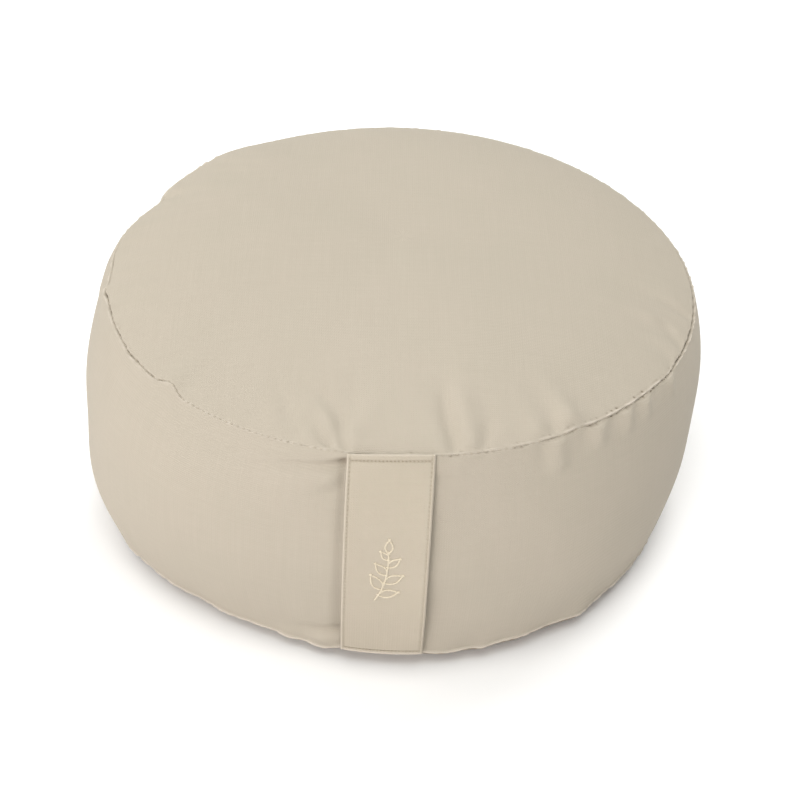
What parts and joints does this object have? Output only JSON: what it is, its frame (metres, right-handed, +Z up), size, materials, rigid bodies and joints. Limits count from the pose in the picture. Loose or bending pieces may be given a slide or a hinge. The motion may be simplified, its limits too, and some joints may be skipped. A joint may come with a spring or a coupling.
{
  "type": "zafu meditation cushion",
  "caption": "Round drum-shaped floor cushion for sitting meditation: crowned top panel, upright side band and a wide carry handle over the front, in oatmeal cotton twill.",
  "frame": {"origin": "middle of the flat foot, at the level of the floor that the cushion stands on", "axes": "+Z up through the crown of the top panel; the carry handle is at the front, towards -Y; +X to the right as seen from the front"},
  "size_m": [0.3385, 0.3419, 0.1624],
  "materials": {
    "body_cloth": "matt undyed cotton twill, oatmeal, with a faint diagonal rib and slubs",
    "handle_cloth": "the same matt cotton twill, folded double with its edges turned in and topstitched"
  },
  "bodies": {
    "root": {"side_band": "body_cloth", "top_panel": "body_cloth", "bottom_panel": "body_cloth", "carry_handle": "handle_cloth"}
  },
  "joints": []
}
